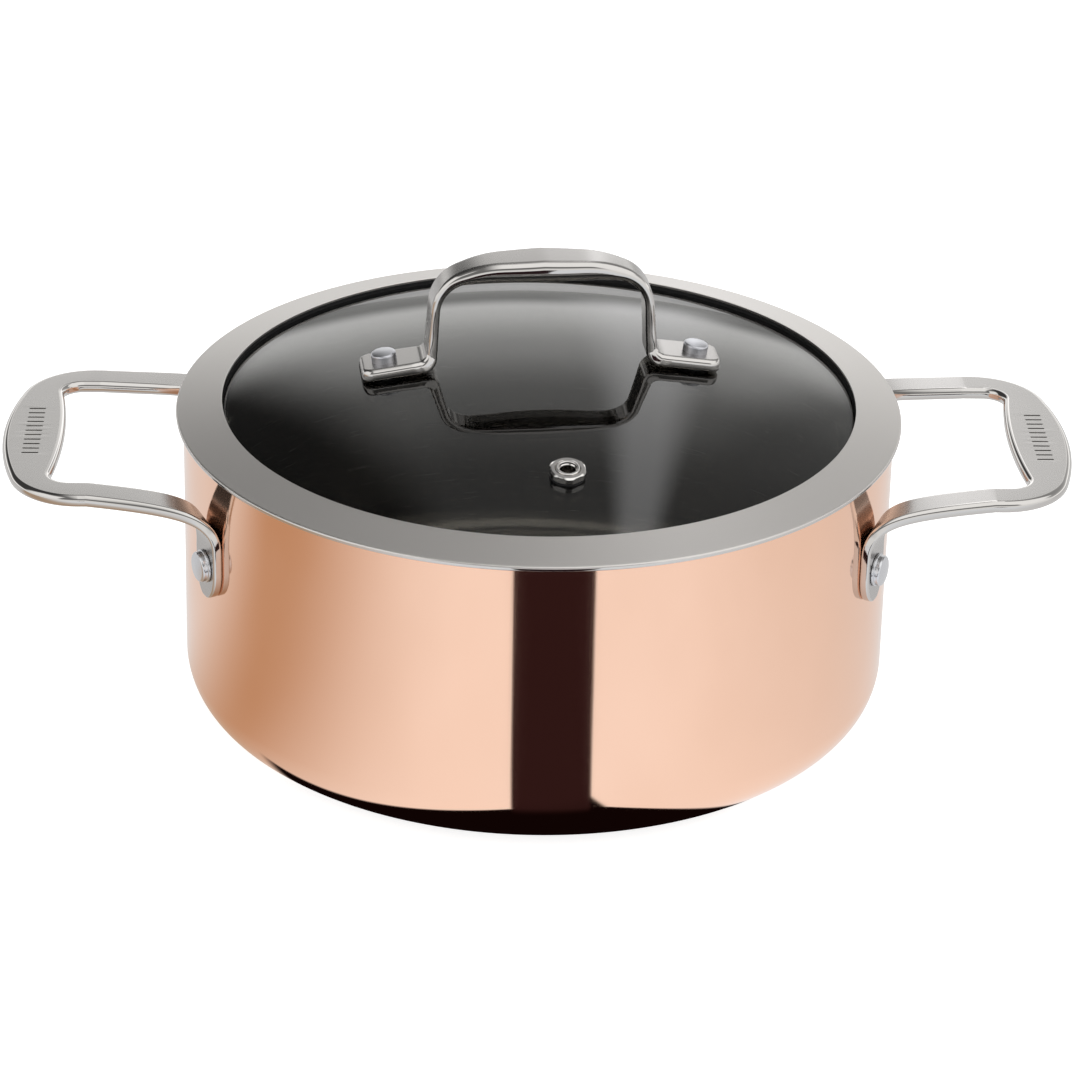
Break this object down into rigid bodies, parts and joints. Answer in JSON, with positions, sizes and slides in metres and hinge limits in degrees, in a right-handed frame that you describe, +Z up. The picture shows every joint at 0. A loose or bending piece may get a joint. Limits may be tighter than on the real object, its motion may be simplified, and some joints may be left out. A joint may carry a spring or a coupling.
{
  "type": "saucepan with glass lid",
  "caption": "Two-handled straight-sided copper saucepan with riveted steel loop handles and a steel-rimmed, domed, tinted glass lid with a strap handle and a steam vent.",
  "frame": {"origin": "centre of the pot's flat base, on the surface that the pot stands on", "axes": "+Z up along the pot's axis, +X from the pot's axis to the right side handle, +Y to the rear; the lid's steam vent is near -Y"},
  "size_m": [0.3694, 0.25, 0.1639],
  "materials": {
    "polished_copper": "mirror-polished copper with faint vertical grain",
    "core_aluminium": "plain rolled core, seen only as a line at the rim",
    "brushed_steel": "satin, brushed round the circumference",
    "polished_steel": "polished stainless steel with satin flats",
    "rivet_steel": "pressed satin stainless steel",
    "tinted_glass": "clear grey tempered glass",
    "black_silicone": "matte black silicone"
  },
  "bodies": {
    "pot": {"copper_shell": "polished_copper", "aluminium_core": "core_aluminium", "steel_liner": "brushed_steel", "left_side_handle": "polished_steel", "right_side_handle": "polished_steel", "left_front_rivet": "rivet_steel", "left_rear_rivet": "rivet_steel", "right_front_rivet": "rivet_steel", "right_rear_rivet": "rivet_steel"},
    "lid": {"lid_rim_band": "brushed_steel", "lid_glass": "tinted_glass", "lid_edge_gasket": "black_silicone", "lid_handle": "polished_steel", "left_lid_rivet": "rivet_steel", "right_lid_rivet": "rivet_steel", "left_foot_gasket": "black_silicone", "right_foot_gasket": "black_silicone", "left_under_gasket": "black_silicone", "right_under_gasket": "black_silicone", "left_backing_washer": "rivet_steel", "right_backing_washer": "rivet_steel", "vent_hollow_screw": "polished_steel", "vent_nut": "polished_steel", "vent_gasket_top": "black_silicone", "vent_gasket_bottom": "black_silicone"}
  },
  "joints": [
    {"name": "lid_lift", "type": "slide", "parent": "pot", "child": "lid", "axis": [0, 0, 1], "range_m": [0, 0.16]}
  ]
}
